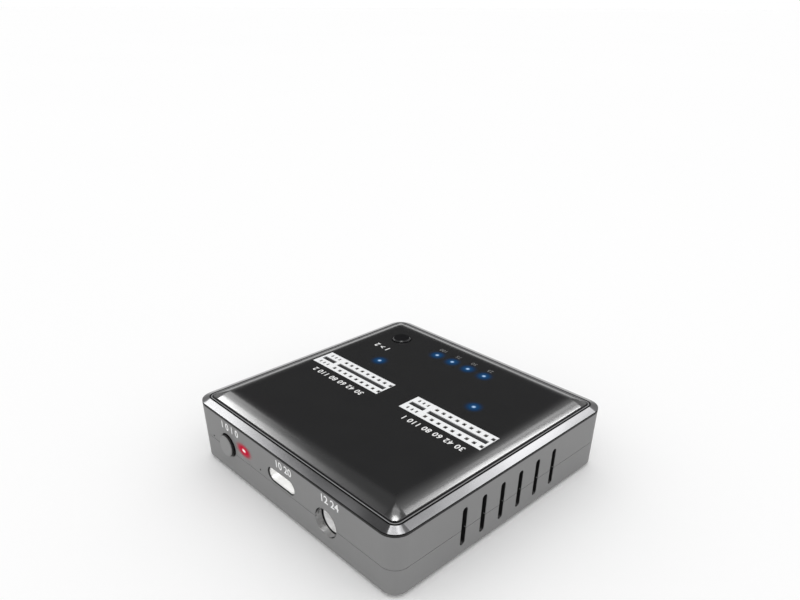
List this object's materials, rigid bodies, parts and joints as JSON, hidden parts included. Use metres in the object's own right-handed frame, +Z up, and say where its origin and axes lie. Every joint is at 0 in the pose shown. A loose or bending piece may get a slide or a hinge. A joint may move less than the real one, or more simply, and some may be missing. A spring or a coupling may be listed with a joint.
{
  "type": "card drive duplicator",
  "caption": "Small square desktop dock with upright card sockets in a gloss top for copying one plug-in card drive onto another, with side cooling slots, ports and push buttons.",
  "frame": {"origin": "middle of the footprint, in the plane that the rubber feet stand on", "axes": "+Z up out of the gloss top, +Y out of the wall with the data port, power inlet and power button, -Y towards the user at the copy button's edge, +X to the user's right; the cooling slots are in the -X and +X walls"},
  "size_m": [0.066, 0.0651, 0.0172],
  "materials": {
    "shell_aluminium": "fine satin anodised",
    "bright_edge": "diamond-cut bright bevel",
    "gasket_black": "matt black bonding gasket",
    "gloss_black": "high gloss black",
    "foot_rubber": "matt",
    "screw_steel": "zinc plated",
    "board_green": "green solder mask on glass-fibre laminate",
    "socket_plastic": "white heat-resistant moulding",
    "contact_gold": "gold flash over copper alloy",
    "port_steel": "nickel plated",
    "port_insulator": "light moulding",
    "jack_plastic": "light moulding",
    "button_plastic": "satin grey",
    "plunger_plastic": "black moulding",
    "switch_plastic": "black moulding",
    "lamp_body": "surface-mount lamp in a white package",
    "light_pipe": "clear acrylic light pipe",
    "chip_black": "moulded package",
    "coil_ferrite": "grey ferrite",
    "capacitor_orange": "moulded polymer capacitor",
    "ceramic": "tan ceramic"
  },
  "bodies": {
    "casing": {"base_cover": "shell_aluminium", "bulk_capacitors": "capacitor_orange", "case_screws": "screw_steel", "chip_capacitors": "ceramic", "clone_switch": "switch_plastic", "controller_chip": "chip_black", "crystals": "port_steel", "foot_front_left": "foot_rubber", "foot_front_right": "foot_rubber", "foot_rear_left": "foot_rubber", "foot_rear_right": "foot_rubber", "housing": "shell_aluminium", "jack_body": "jack_plastic", "jack_pin": "port_steel", "jack_spring_leaf": "port_steel", "jack_terminals": "port_steel", "main_board": "board_green", "memory_chip": "chip_black", "power_coil_1": "coil_ferrite", "power_coil_2": "coil_ferrite", "power_lamp": "lamp_body", "power_light_pipe": "light_pipe", "power_switch": "switch_plastic", "progress_lamps": "lamp_body", "progress_light_guide": "light_pipe", "regulator_chip": "chip_black", "rim_gasket": "gasket_black", "source_bridge_chip": "chip_black", "source_contacts": "contact_gold", "source_lamp": "lamp_body", "source_light_pipe": "light_pipe", "source_socket": "socket_plastic", "target_bridge_chip": "chip_black", "target_contacts": "contact_gold", "target_lamp": "lamp_body", "target_light_pipe": "light_pipe", "target_socket": "socket_plastic", "top_cover": "gloss_black", "trim_ring": "bright_edge", "usb_contacts": "contact_gold", "usb_insulator": "port_insulator", "usb_shell": "port_steel"},
    "power_key": {"power_button": "button_plastic", "power_plunger": "plunger_plastic"},
    "clone_key": {"clone_button": "button_plastic", "clone_plunger": "plunger_plastic"}
  },
  "joints": [
    {"name": "power_press", "type": "slide", "parent": "casing", "child": "power_key", "axis": [0, -1, 0], "range_m": [0, 0.0005], "stiffness_N_per_m": 2600},
    {"name": "clone_press", "type": "slide", "parent": "casing", "child": "clone_key", "axis": [0, 0, -1], "range_m": [0, 0.0005], "stiffness_N_per_m": 2600}
  ]
}
